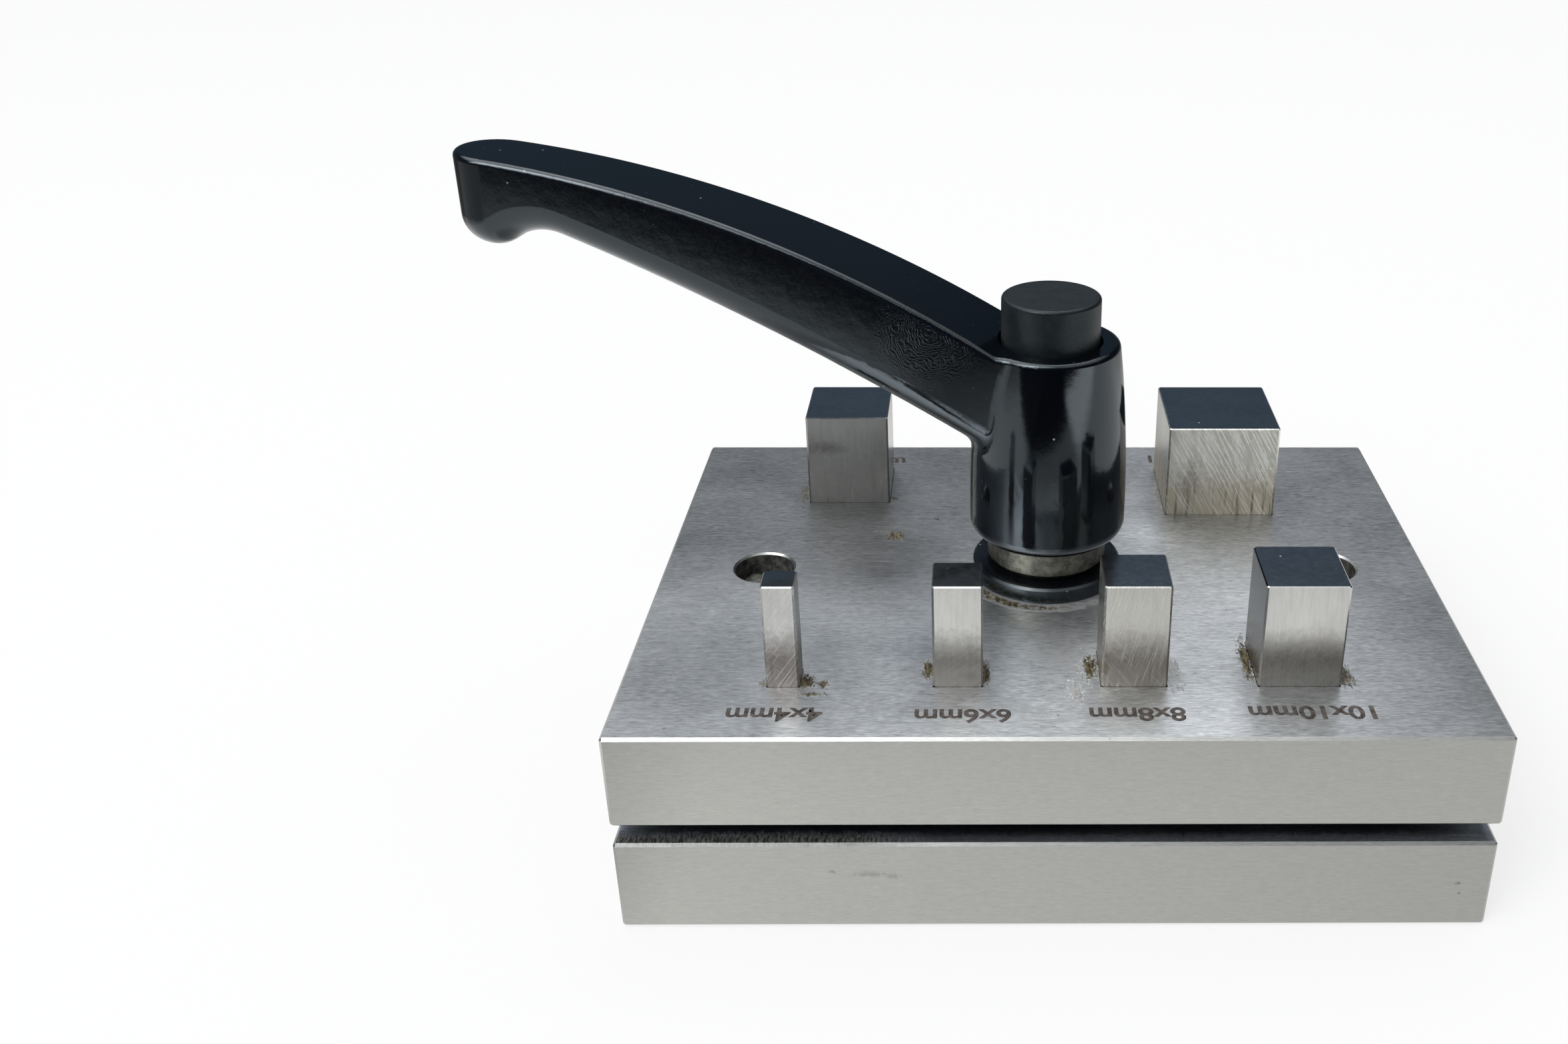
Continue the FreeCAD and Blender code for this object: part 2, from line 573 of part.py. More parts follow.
def clamp_lever():
    body = new_body("clamp_lever", PLATE_TOP)
    arm_side(body)
    arm_plan(body)
    lift = value(PLATE_TOP)
    join, top_centre = arm_lines()[6], arm_lines()[-1]

    def middle(edge):
        return edge.valueAt((edge.FirstParameter + edge.LastParameter) / 2)

    def off(edge, centre, radius):
        reach = math.hypot(middle(edge).x - centre.x, middle(edge).z - lift - centre.y)
        return abs(reach - value(radius))

    def on_top(edge):
        if edge.Curve.TypeId == "Part::GeomLine" and abs(middle(edge).y) < CLOSE:
            return False
        level = max(abs(point.z - lift - value("hub_top")) for point in [middle(edge)] + [
            vertex.Point for vertex in edge.Vertexes])
        return min(off(edge, top_centre, "arm_top_radius"), off(edge, join, "arm_top_join"), level) < CLOSE

    def on_low_edge(edge):
        upright = abs(max(vertex.Z for vertex in edge.Vertexes) - lift - value(TIP_TOP)) < CLOSE
        across = abs(middle(edge).y) < CLOSE and middle(edge).x > -value("arm_reach") + CLOSE
        at_root = all(abs(vertex.X) < CLOSE for vertex in edge.Vertexes)
        return not (upright or across or at_root or on_top(edge))

    soften(body, "Fillet", "arm_low_rounding", edges_where(body.Shape, on_low_edge), "arm_low_round")
    side_centre = hub(body)

    def at_root(edge):
        if edge.Curve.TypeId in ("Part::GeomCircle", "Part::GeomLine"):
            return False
        point = middle(edge)
        reach = math.hypot(math.hypot(point.x, point.y) - side_centre.x, point.z - lift - side_centre.y)
        return abs(reach - value("hub_side_arc")) < CLOSE

    soften(body, "Fillet", "root_rounding", edges_where(body.Shape, at_root), "root_round")
    soften(body, "Fillet", "top_rounding", edges_where(body.Shape, on_top), "top_round")
    foot = round_edges(body.Shape, value("hub_low_radius"), lift + value("hub_foot"))
    soften(body, "Fillet", "hub_foot_rounding", foot, "hub_foot_round")
    before = body.Shape.Volume
    bores = new_sketch(body, "front", "hub_bores_profile")
    tooth_end = "hub_foot+tooth_long+tooth_relief"
    outline(bores, [("0", "hub_foot-cut_margin"), ("tooth_root+tooth_fit", "hub_foot-cut_margin"),
                    ("tooth_root+tooth_fit", tooth_end), ("neck_diameter/2+running_fit", tooth_end),
                    ("neck_diameter/2+running_fit", "hub_floor"), ("hub_bore/2", "hub_floor"),
                    ("hub_bore/2", "hub_top+cut_margin"), ("0", "hub_top+cut_margin")])
    groove = body.newObject("PartDesign::Groove", "hub_bores")
    groove.Profile = bores
    groove.ReferenceAxis = (bores, ["V_Axis"])
    groove.Angle = 360
    doc.recompute()
    if not body.Shape.Volume < before:
        raise RuntimeError("the hub's bores cut nothing")
    tooth_gaps(body, "lever_gap", "hub_foot-tooth_relief", "tooth_long+2*tooth_relief", "180/tooth_count", [
        ("tooth_root-tooth_relief", "180/tooth_count*(1-gap_root_share)"),
        ("tooth_root+tooth_fit", "180/tooth_count*(1-gap_root_share)+tooth_fit/tooth_root*180/pi"),
        ("tooth_tip+tooth_fit", "180/tooth_count*(1-gap_tip_share)+tooth_fit/tooth_tip*180/pi")])
    return body


pieces = [lower_plate(), upper_plate(),
          guide_pin("left_guide_pin", "-pin_spread/2"), guide_pin("right_guide_pin", "pin_spread/2")]
pieces += [punch(*entry) for entry in PUNCHES]
pieces += [coil("lift_spring", "plate_thick-pocket_below", "spring_wire", "spring_outside", "spring_turns",
                "pocket_below+plate_gap+pocket_above"),
           thrust_washer(), clamp_screw(), lever_insert(), retaining_screw(), release_button(),
           clamp_lever(),
           coil("lever_spring", PLATE_TOP + "+hub_floor", "coil_wire", "coil_outside", "coil_turns",
                "(neck_top-hub_floor)")]

# The clamp group is turned as one, so that the serration stays in mesh

for piece in pieces:
    if piece.Label in ("lever_insert", "retaining_screw", "clamp_lever", "lever_spring"):
        piece.Placement.Rotation = FreeCAD.Rotation(FreeCAD.Vector(0, 0, 1), -value("lever_angle"))
doc.recompute()

for thing in doc.Objects:
    if "Invalid" in thing.State or "Error" in thing.State:
        raise RuntimeError("%s did not recompute" % thing.Label)
for piece in pieces:
    if piece.Shape.isNull() or not piece.Shape.isValid() or len(piece.Shape.Solids) != 1:
        raise RuntimeError("%s is not one sound solid" % piece.Label)

os.makedirs("parts", exist_ok=True)
for piece in pieces:
    piece.Shape.exportStep("parts/%s.step" % piece.Label)
    box = piece.Shape.BoundBox
    print("%-16s %9.2f mm3  x %.2f..%.2f  y %.2f..%.2f  z %.2f..%.2f" % (
        piece.Label, piece.Shape.Volume, box.XMin, box.XMax, box.YMin, box.YMax, box.ZMin, box.ZMax))
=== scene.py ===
import bmesh
import bpy
from mathutils import Matrix, Vector


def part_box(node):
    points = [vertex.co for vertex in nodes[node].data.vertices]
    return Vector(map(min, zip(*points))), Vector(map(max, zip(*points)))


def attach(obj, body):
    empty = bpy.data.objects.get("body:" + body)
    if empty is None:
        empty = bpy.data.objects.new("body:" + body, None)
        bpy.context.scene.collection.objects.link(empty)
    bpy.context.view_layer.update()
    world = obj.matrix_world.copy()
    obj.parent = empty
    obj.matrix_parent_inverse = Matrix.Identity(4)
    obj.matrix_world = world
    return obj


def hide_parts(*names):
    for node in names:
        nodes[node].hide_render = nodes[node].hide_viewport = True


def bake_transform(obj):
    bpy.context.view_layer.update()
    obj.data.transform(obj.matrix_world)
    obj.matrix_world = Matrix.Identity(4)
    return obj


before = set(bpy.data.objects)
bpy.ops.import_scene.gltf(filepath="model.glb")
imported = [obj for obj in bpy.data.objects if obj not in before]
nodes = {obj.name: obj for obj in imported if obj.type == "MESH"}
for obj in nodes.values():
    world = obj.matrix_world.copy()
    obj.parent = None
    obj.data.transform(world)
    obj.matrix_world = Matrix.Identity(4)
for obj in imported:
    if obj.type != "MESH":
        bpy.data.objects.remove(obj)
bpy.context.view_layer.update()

mm = 0.001
halfWidth, halfDepth, plateTop = [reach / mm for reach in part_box("upper_plate")[1]]
print("cutter loaded:", len(nodes), "pieces")


# Node helpers. Places in the materials are millimetres in the part's own frame.

def startMaterial(name):
    material = bpy.data.materials.new(name)
    material.use_nodes = True
    return material, material.node_tree, material.node_tree.nodes["Principled BSDF"]


def place(tree, stretch=(1, 1, 1), turn=(0, 0, 0)):
    coords = tree.nodes.new("ShaderNodeTexCoord")
    mapping = tree.nodes.new("ShaderNodeMapping")
    mapping.vector_type = "TEXTURE"
    mapping.inputs["Rotation"].default_value = turn
    mapping.inputs["Scale"].default_value = [mm / size for size in stretch]
    tree.links.new(coords.outputs["Object"], mapping.inputs["Vector"])
    return mapping.outputs["Vector"]


def axes(tree):
    coords = tree.nodes.new("ShaderNodeTexCoord")
    found = []
    for name in ("Object", "Normal"):
        parts = tree.nodes.new("ShaderNodeSeparateXYZ")
        tree.links.new(coords.outputs[name], parts.inputs["Vector"])
        found += [parts.outputs[letter] for letter in "XYZ"]
    return [reckon(tree, "DIVIDE", value, mm) for value in found[:3]] + found[3:]


def noise(tree, vector, detail=4, rough=0.5, twist=0):
    node = tree.nodes.new("ShaderNodeTexNoise")
    node.inputs["Scale"].default_value = 1
    node.inputs["Detail"].default_value = detail
    node.inputs["Roughness"].default_value = rough
    node.inputs["Distortion"].default_value = twist
    tree.links.new(vector, node.inputs["Vector"])
    return node.outputs["Fac"]


def specks(tree, vector, size, share):
    node = tree.nodes.new("ShaderNodeTexVoronoi")
    node.inputs["Scale"].default_value = 1
    tree.links.new(vector, node.inputs["Vector"])
    chosen = tree.nodes.new("ShaderNodeSeparateColor")
    tree.links.new(node.outputs["Color"], chosen.inputs["Color"])
    dot = span(tree, node.outputs["Distance"], size, size * 0.5)
    return reckon(tree, "MULTIPLY", dot, reckon(tree, "LESS_THAN", chosen.outputs["Red"], share))


def span(tree, value, low, high, toLow=0, toHigh=1):
    node = tree.nodes.new("ShaderNodeMapRange")
    for name, number in (("From Min", low), ("From Max", high), ("To Min", toLow), ("To Max", toHigh)):
        node.inputs[name].default_value = number
    tree.links.new(value, node.inputs["Value"])
    return node.outputs["Result"]


def reckon(tree, how, first, second=None):
    node = tree.nodes.new("ShaderNodeMath")
    node.operation = how
    for socket, value in zip(node.inputs, (first, second)):
        if isinstance(value, (int, float)):
            socket.default_value = value
        elif value is not None:
            tree.links.new(value, socket)
    return node.outputs["Value"]


def total(tree, how, *values):
    result = values[0]
    for value in values[1:]:
        result = reckon(tree, how, result, value)
    return result


def blend(tree, share, first, second):
    node = tree.nodes.new("ShaderNodeMix")
    node.data_type = "RGBA"
    for socket, value in zip((node.inputs[0], node.inputs[6], node.inputs[7]), (share, first, second)):
        if isinstance(value, (int, float)):
            socket.default_value = value
        elif isinstance(value, tuple):
            socket.default_value = (*value, 1)
        else:
            tree.links.new(value, socket)
    return node.outputs[2]


def dim(tree, colour, factor):
    node = tree.nodes.new("ShaderNodeVectorMath")
    node.operation = "SCALE"
    if isinstance(colour, tuple):
        node.inputs["Vector"].default_value = colour
    else:
        tree.links.new(colour, node.inputs["Vector"])
    tree.links.new(factor, node.inputs["Scale"])
    return node.outputs["Vector"]


def apart(tree, first, second, middle=(0, 0), size=(1, 1)):
    sides = [reckon(tree, "DIVIDE", reckon(tree, "SUBTRACT", value, at), reach)
             for value, at, reach in zip((first, second), middle, size)]
    squares = [reckon(tree, "MULTIPLY", side, side) for side in sides]
    return reckon(tree, "SQRT", reckon(tree, "ADD", *squares))


def spots(tree, first, second, wander, places, soft=0.5):
    found = 0
    for middle, size, strength in places:
        away = reckon(tree, "ADD", apart(tree, first, second, middle, size), wander)
        found = reckon(tree, "MAXIMUM", found, span(tree, away, 1, 1 - soft, 0, strength))
    return found


def relief(tree, shader, *layers):
    last = None
    for height, depth in layers:
        node = tree.nodes.new("ShaderNodeBump")
        node.inputs["Strength"].default_value = 1
        node.inputs["Distance"].default_value = depth
        tree.links.new(height, node.inputs["Height"])
        if last:
            tree.links.new(last, node.inputs["Normal"])
        last = node.outputs["Normal"]
    tree.links.new(last, shader.inputs["Normal"])


def brushed(tree, shader, line=(1, 0.01, 0)):
    facing = tree.nodes.new("ShaderNodeNewGeometry")
    across = tree.nodes.new("ShaderNodeVectorMath")
    across.operation = "CROSS_PRODUCT"
    tree.links.new(facing.outputs["Normal"], across.inputs[0])
    across.inputs[1].default_value = line
    tree.links.new(across.outputs["Vector"], shader.inputs["Tangent"])


def dress(material, *names):
    for name in names:
        for slot in nodes[name].material_slots:
            slot.material = material


# Ground plates. A spot is its middle, its half sizes and its strength.

grease = [
    ((-29.9, -28.4), (1.0, 1.7), 0.9), ((-28.0, -29.0), (0.8, 1.1), 0.8), ((-29.2, -31.0), (2.1, 0.5), 0.7),
    ((-35.2, -28.7), (0.5, 1.0), 0.6), ((-15.4, -25.9), (0.9, 2.3), 0.9), ((-8.3, -26.6), (0.5, 3.2), 0.8),
    ((-10.4, -33.1), (1.9, 0.45), 0.25), ((4.4, -25.2), (1.2, 3.6), 0.75), ((2.2, -30.6), (1.3, 2.9), 0.4),
    ((14.6, -27.0), (1.1, 4.0), 0.3), ((23.8, -23.6), (0.8, 5.4), 0.8), ((35.4, -27.2), (1.1, 2.6), 0.7),
    ((-35.4, 23.0), (0.9, 4.0), 0.5), ((-22.0, 21.2), (0.7, 0.7), 0.6), ((-21.2, 9.1), (1.5, 1.6), 0.8),
    ((-23.2, 10.6), (1.3, 0.25), 0.5), ((-15.5, 14.3), (0.4, 0.3), 0.7), ((18.0, 22.0), (0.7, 5.0), 0.35)]
frontMarks = [
    ((-26.6, 8.4), (0.5, 0.3), 0.3), ((-22.0, 8.0), (3, 0.5), 0.22), ((-19.6, 7.7), (1.2, 0.6), 0.2),
    ((48.4, 6.4), (0.4, 0.3), 0.4), ((48.7, 4.9), (0.3, 0.2), 0.4)]
# bright and dull are painted light and painted shade spots on the guide plate's top, standing in for reflections of
# the room and of the lever; greaseRing is the radius of a real grease ring round the washer.
plateLightAndGrease = {"bright": [((1, -21), (12, 15), 0.65), ((-20, -23), (7, 12), 0.3), ((15, 9), (9, 9), 0.6)],
             "dull": [((-22, -2), (17, 13), 0.5)], "greaseRing": 11.1}
plateLooks = {
    "upper_plate": {"name": "ground plate steel", "front": (0.47, 0.475, 0.446), "top": (0.51, 0.525, 0.54),
                    "leftEnd": 1.13, "rightEnd": 0.87, "dirt": ((0.022, 0.017, 0.008), (0.17, 0.14, 0.07))},
    # The lower plate's top tone is kept dark as painted shade for the slot under the guide plate.
    "lower_plate": {"name": "ground die plate steel", "front": (0.443, 0.447, 0.42), "top": (0.2, 0.22, 0.255),
                    "leftEnd": 1.06, "rightEnd": 0.84, "dirt": ((0.012, 0.012, 0.011), (0.13, 0.13, 0.12))}}
plateGrain = {"lines": 0.28, "bands": 0.14, "cloud": 0.08, "fine": 0.07, "rough": (0.33, 0.38),
              "anisotropy": 0.35, "scratch": (0.8, 0.8, 0.79), "pit": (0.16, 0.15, 0.13),
              "hole": ((0.02, 0.022, 0.02), (0.11, 0.11, 0.1))}


# Painted light and shade on the guide plate's top: a brightness gain, higher at the front than at the back and falling
# off towards the ends, plus the bright and dull spots, all standing in for reflections.
def paintedLightTop(tree, x, y, tone):
    rearward = span(tree, y, -12, 8)
    forward = reckon(tree, "SUBTRACT", 1, rearward)
    ahead = total(tree, "MULTIPLY", span(tree, x, -50, -14, 0.93, 1.25), span(tree, x, 28, 50, 1, 0.55), forward)
    behind = total(tree, "MULTIPLY", span(tree, x, -5, 14, 0.52, 0.87), span(tree, x, 20, 52, 1, 0.84), rearward)
    shade = total(tree, "ADD", ahead, behind, spots(tree, x, y, 0, plateLightAndGrease["bright"], 1))
    return dim(tree, tone, reckon(tree, "SUBTRACT", shade, spots(tree, x, y, 0, plateLightAndGrease["dull"], 1)))


def greasyTop(tree, x, y, nz, wander, fine):
    fromRing = reckon(tree, "SUBTRACT", apart(tree, x, y), plateLightAndGrease["greaseRing"])
    ring = total(tree, "MULTIPLY", span(tree, reckon(tree, "ABSOLUTE", fromRing), 1.3, 0.2),
                 span(tree, y, -1, -6), span(tree, x, 8, -4, 0.25, 1), span(tree, fine, 0.3, 0.52))
    soiled = reckon(tree, "MAXIMUM", spots(tree, x, y, wander, grease), ring)
    return reckon(tree, "MULTIPLY", soiled, span(tree, nz, 0.6, 0.9))


def dirtySlot(tree, x, y, z, ny, nz, wander):
    strip = span(tree, reckon(tree, "ADD", y, reckon(tree, "MULTIPLY", wander, 1.2)), -37.6, -38.8)
    strip = total(tree, "MULTIPLY", strip, span(tree, x, -14, -24, 0.25, 1), span(tree, nz, 0.6, 0.9), 0.9)
    marked = reckon(tree, "MULTIPLY", spots(tree, x, z, wander, frontMarks), span(tree, ny, -0.6, -0.9))
    return reckon(tree, "MAXIMUM", marked, strip)


def plateSteel(look, upper):
    material, tree, shader = startMaterial(look["name"])
    x, y, z, nx, ny, nz = axes(tree)
    lines = noise(tree, place(tree, (0.9, 8, 8)), 3, 0.6)
    bands = noise(tree, place(tree, (0.3, 2.6, 2.6)), 4, 0.6)
    cloud = noise(tree, place(tree, (0.06, 0.06, 0.06)), 4, 0.55)
    fine = noise(tree, place(tree, (1.1, 1.1, 1.1)), 5, 0.65, 0.4)
    scratch = span(tree, noise(tree, place(tree, (0.12, 7, 7)), 2, 0.5), 0.66, 0.74)
    # Painted shade on the front faces: lighter towards the left end and darker towards the right end.
    paintedEndShade = reckon(tree, "MULTIPLY", span(tree, x, -52, -25, look["leftEnd"], 1),
                      span(tree, x, -25, 52, 1, look["rightEnd"]))
    top = paintedLightTop(tree, x, y, look["top"]) if upper else look["top"]
    tone = blend(tree, span(tree, nz, 0.6, 0.9), dim(tree, look["front"], paintedEndShade), top)
    flat = span(tree, nz, 0.6, 0.9, 0.3, 1)
    shades = [reckon(tree, "MULTIPLY", flat, span(tree, part, 0.3, 0.7, -plateGrain[name], plateGrain[name]))
              for name, part in (("lines", lines), ("bands", bands), ("cloud", cloud), ("fine", fine))]
    tone = dim(tree, tone, total(tree, "ADD", 1, *shades))
    tone = blend(tree, total(tree, "MULTIPLY", scratch, flat, 0.35), tone, plateGrain["scratch"])
    pits = specks(tree, place(tree, (0.22, 0.22, 0.22)), 0.045, 0.35)
    tone = blend(tree, total(tree, "MULTIPLY", pits, flat, 0.6), tone, plateGrain["pit"])
    wander = span(tree, noise(tree, place(tree, (2.6, 1.1, 2)), 4, 0.7, 1), 0.25, 0.75, -0.8, 0.8)
    soiled = greasyTop(tree, x, y, nz, wander, fine) if upper else dirtySlot(tree, x, y, z, ny, nz, wander)
    soiled = span(tree, soiled, 0.05, 0.75)
    dirt = blend(tree, span(tree, noise(tree, place(tree, (3.2, 0.8, 2.4)), 4, 0.6), 0.42, 0.6), *look["dirt"])
    # Walls inside the bores and holes get a near-black, less metallic tone.
    inside = total(tree, "MULTIPLY", reckon(tree, "LESS_THAN", reckon(tree, "ABSOLUTE", nz), 0.5),
                   reckon(tree, "LESS_THAN", reckon(tree, "ABSOLUTE", x), halfWidth - 0.2),
                   reckon(tree, "LESS_THAN", reckon(tree, "ABSOLUTE", y), halfDepth - 0.2))
    tone = blend(tree, soiled, tone, dirt)
    tone = blend(tree, inside, tone, blend(tree, span(tree, fine, 0.4, 0.65), *plateGrain["hole"]))
    tree.links.new(tone, shader.inputs["Base Color"])
    dull = reckon(tree, "MAXIMUM", soiled, inside)
    tree.links.new(span(tree, dull, 0, 1, 1, 0.35), shader.inputs["Metallic"])
    sheen = total(tree, "ADD", span(tree, lines, 0.3, 0.7, *plateGrain["rough"]),
                  span(tree, cloud, 0.3, 0.7, -0.02, 0.03), reckon(tree, "MULTIPLY", dull, 0.2))
    tree.links.new(sheen, shader.inputs["Roughness"])
    shader.inputs["Anisotropic"].default_value = plateGrain["anisotropy"]
    brushed(tree, shader)
    relief(tree, shader, (lines, 0.000004), (bands, 0.000008), (reckon(tree, "MULTIPLY", fine, soiled), 0.00006))
    return material


for plate, look in plateLooks.items():
    dress(plateSteel(look, plate == "upper_plate"), plate)


# Punches, one finish each

# Each look holds a pair of factors that darken the punch's left face as painted shade, near the plate and higher up.
punchLooks = {
    "punch_4mm": {"tone": (0.60, 0.60, 0.58), "aside": (0.55, 0.55), "scratch": 0.55, "cross": 0.15, "angle": 0.6,
                  "foot": (0.22, 0.19, 0.17), "footShare": 0.9, "streaks": 0.1,
                  "blotch": [((-33.9, 30.0), (0.25, 1.9), 0.8)]},
    "punch_6mm": {"tone": (0.57, 0.57, 0.55), "aside": (0.45, 0.55), "scratch": 0.12, "cross": 0, "angle": 0.9,
                  "foot": (0.27, 0.245, 0.21), "footShare": 0.75, "streaks": 0.1,
                  "blotch": [((-10.2, 29.2), (1.4, 0.9), 0.35)]},
    "punch_8mm": {"tone": (0.49, 0.485, 0.45), "aside": (0.4, 0.5), "scratch": 0.35, "cross": 0.2, "angle": 0.25,
                  "foot": (0.26, 0.23, 0.185), "footShare": 0.8, "streaks": 0.35,
                  "blotch": [((7.8, 31.0), (1.2, 1.2), 0.25)]},
    "punch_10mm": {"tone": (0.55, 0.55, 0.53), "aside": (0.24, 0.27), "scratch": 0.06, "cross": 0, "angle": 0.5,
                   "foot": (0.25, 0.225, 0.19), "footShare": 0.65, "streaks": 0.15, "blotch": []},
    "punch_12mm": {"tone": (0.51, 0.505, 0.475), "aside": (0.5, 0.5), "scratch": 0.08, "cross": 0, "angle": 0.1,
                   "foot": (0.36, 0.34, 0.30), "footShare": 0.3, "streaks": 0.1,
                   "blotch": [((-31.4, 36.6), (3.4, 1.3), 0.5)]},
    "punch_16mm": {"tone": (0.8, 0.79, 0.72), "aside": (0.26, 0.62), "scratch": 0.75, "cross": 0.1, "angle": -0.5,
                   "foot": (0.5, 0.44, 0.32), "footShare": 0.8, "streaks": 0.7,
                   "blotch": [((21.4, 33.5), (2.0, 4.0), 0.4)]}}
punchTop = {"tone": (0.52, 0.53, 0.54), "rough": 0.13}
punchStains = {"run": (0.12, 0.09, 0.05), "blotch": (0.16, 0.15, 0.14), "score": (0.86, 0.86, 0.83)}


def punchSteel(name, look):
    material, tree, shader = startMaterial(name.replace("_", " ") + " steel")
    x, y, z, nx, ny, nz = axes(tree)
    top = span(tree, nz, 0.6, 0.9)
    grain = noise(tree, place(tree, (3.2, 3.2, 0.25)), 4, 0.6)
    fine = noise(tree, place(tree, (1.3, 1.3, 1.3)), 5, 0.6, 0.5)
    cloud = noise(tree, place(tree, (0.16, 0.16, 0.1)), 3)
    scores = span(tree, noise(tree, place(tree, (4, 4, 0.16), (0, look["angle"], 0)), 3, 0.6), 0.52, 0.62)
    crossed = span(tree, noise(tree, place(tree, (4.5, 4.5, 0.2), (0, -look["angle"] - 0.4, 0)), 3, 0.6), 0.54, 0.64)
    scores = reckon(tree, "MAXIMUM", reckon(tree, "MULTIPLY", scores, look["scratch"]),
                    reckon(tree, "MULTIPLY", crossed, look["cross"]))
    shades = [span(tree, part, 0.3, 0.7, 1 - swing, 1 + swing)
              for part, swing in ((grain, 0.07), (fine, 0.04), (cloud, 0.07))]
    tone = dim(tree, blend(tree, top, look["tone"], punchTop["tone"]), total(tree, "MULTIPLY", *shades))
    # Painted shade: each punch's left face is darkened, for some punches more near the plate than higher up.
    aside = span(tree, z, plateTop + 3, plateTop + 12, *look["aside"])
    tone = dim(tree, tone, reckon(tree, "MAXIMUM", aside, span(tree, nx, -0.8, -0.5)))
    low = reckon(tree, "ADD", z, span(tree, fine, 0.2, 0.8, -1.6, 1.6))
    foot = reckon(tree, "MULTIPLY", span(tree, low, plateTop + 8.5, plateTop + 4), look["footShare"])
    tone = blend(tree, foot, tone, look["foot"])
    runs = span(tree, noise(tree, place(tree, (1.9, 1.9, 0.09)), 3, 0.6), 0.53, 0.66)
    runs = total(tree, "MULTIPLY", runs, span(tree, low, plateTop + 7.5, plateTop + 4), look["streaks"])
    tone = blend(tree, runs, tone, punchStains["run"])
    if look["blotch"]:
        wander = span(tree, fine, 0.2, 0.8, -0.4, 0.4)
        tone = blend(tree, spots(tree, x, z, wander, look["blotch"], 0.9), tone, punchStains["blotch"])
    dots = total(tree, "MULTIPLY", specks(tree, place(tree, (0.45, 0.45, 0.45)), 0.09, 0.3), top)
    dots = reckon(tree, "MAXIMUM", dots, total(tree, "MULTIPLY", scores, reckon(tree, "SUBTRACT", 1, top), 0.6))
    tone = blend(tree, dots, tone, punchStains["score"])
    tree.links.new(tone, shader.inputs["Base Color"])
    tree.links.new(span(tree, top, 0, 1, 1 - 0.3 * look["scratch"], 1), shader.inputs["Metallic"])
    rough = span(tree, top, 0, 1, 0.2 + 0.2 * look["scratch"], punchTop["rough"])
    rough = total(tree, "ADD", rough, span(tree, fine, 0.3, 0.7, -0.02, 0.03), reckon(tree, "MULTIPLY", foot, 0.1))
    tree.links.new(reckon(tree, "ADD", rough, reckon(tree, "MULTIPLY", dots, 0.3)), shader.inputs["Roughness"])
    sides = reckon(tree, "SUBTRACT", 1, reckon(tree, "MULTIPLY", top, 0.92))
    relief(tree, shader, (reckon(tree, "MULTIPLY", grain, sides), 0.000005),
           (reckon(tree, "MULTIPLY", scores, sides), 0.00002), (cloud, 0.00002))
    return material


for name, look in punchLooks.items():
    dress(punchSteel(name, look), name)


def darkSteel(name, low, high, rough, depth):
    material, tree, shader = startMaterial(name)
    mottle = noise(tree, place(tree, (1.1, 1.1, 1.1)), 5, 0.65)
    turned = noise(tree, place(tree, (0.2, 0.2, 7)), 3)
    tone = blend(tree, span(tree, mottle, 0.38, 0.64), low, high)
    tree.links.new(dim(tree, tone, span(tree, turned, 0.3, 0.7, 0.9, 1.1)), shader.inputs["Base Color"])
    tree.links.new(span(tree, mottle, 0.3, 0.7, rough - 0.06, rough + 0.1), shader.inputs["Roughness"])
    shader.inputs["Metallic"].default_value = 1
    relief(tree, shader, (mottle, depth), (turned, depth * 0.3))
    return material


dress(darkSteel("oiled pin steel", (0.03, 0.03, 0.028), (0.2, 0.2, 0.18), 0.5, 0.00005),
      "left_guide_pin", "right_guide_pin")
springSteel = darkSteel("spring steel", (0.3, 0.3, 0.31), (0.45, 0.45, 0.46), 0.3, 0.00001)
dress(darkSteel("olive insert steel", (0.12, 0.12, 0.1), (0.26, 0.25, 0.21), 0.4, 0.00003), "lever_insert")
dress(darkSteel("screw steel", (0.12, 0.12, 0.12), (0.26, 0.26, 0.27), 0.4, 0.00002), "clamp_screw", "retaining_screw")


# Black lever, washer and button

paint = {"gloss": 1.6, "tint": (0.8, 0.93, 1, 1), "dust": (0.22, 0.23, 0.23),
         "rippleMiddle": (-15.3, 63.7), "rippleReach": 7.5, "rippleRate": 14}


def blackPaint(name, colour, rough, ripple):
    material, tree, shader = startMaterial(name)
    wave = noise(tree, place(tree, (0.55, 0.55, 0.55)), 2, 0.4)
    peel = noise(tree, place(tree, (2.6, 2.6, 2.6)), 3, 0.5)
    dust = specks(tree, place(tree, (0.42, 0.42, 0.42)), 0.075, 0.22)
    pits = specks(tree, place(tree, (0.9, 0.9, 0.9)), 0.1, 0.12)
    tree.links.new(blend(tree, dust, colour, paint["dust"]), shader.inputs["Base Color"])
    tree.links.new(span(tree, peel, 0.3, 0.7, rough - 0.015, rough + 0.03), shader.inputs["Roughness"])
    shader.inputs["IOR"].default_value = paint["gloss"]
    shader.inputs["Specular Tint"].default_value = paint["tint"]
    layers = [(wave, 0.00001), (peel, 0.0000025), (reckon(tree, "SUBTRACT", 1, pits), 0.00002)]
    if ripple:
        x, y, z = axes(tree)[:3]
        away = apart(tree, x, z, paint["rippleMiddle"])
        swirl = reckon(tree, "ADD", away, span(tree, wave, 0.2, 0.8, -0.9, 0.9))
        rings = reckon(tree, "SINE", reckon(tree, "MULTIPLY", swirl, paint["rippleRate"]))
        rings = total(tree, "MULTIPLY", rings, span(tree, away, paint["rippleReach"], 4),
                      span(tree, peel, 0.35, 0.6))
        layers.append((rings, 0.000006))
    relief(tree, shader, *layers)
    return material


dress(blackPaint("black lever paint", (0.0012, 0.0016, 0.0028), 0.09, True), "clamp_lever")
dress(blackPaint("black washer finish", (0.0015, 0.002, 0.003), 0.2, False), "thrust_washer")


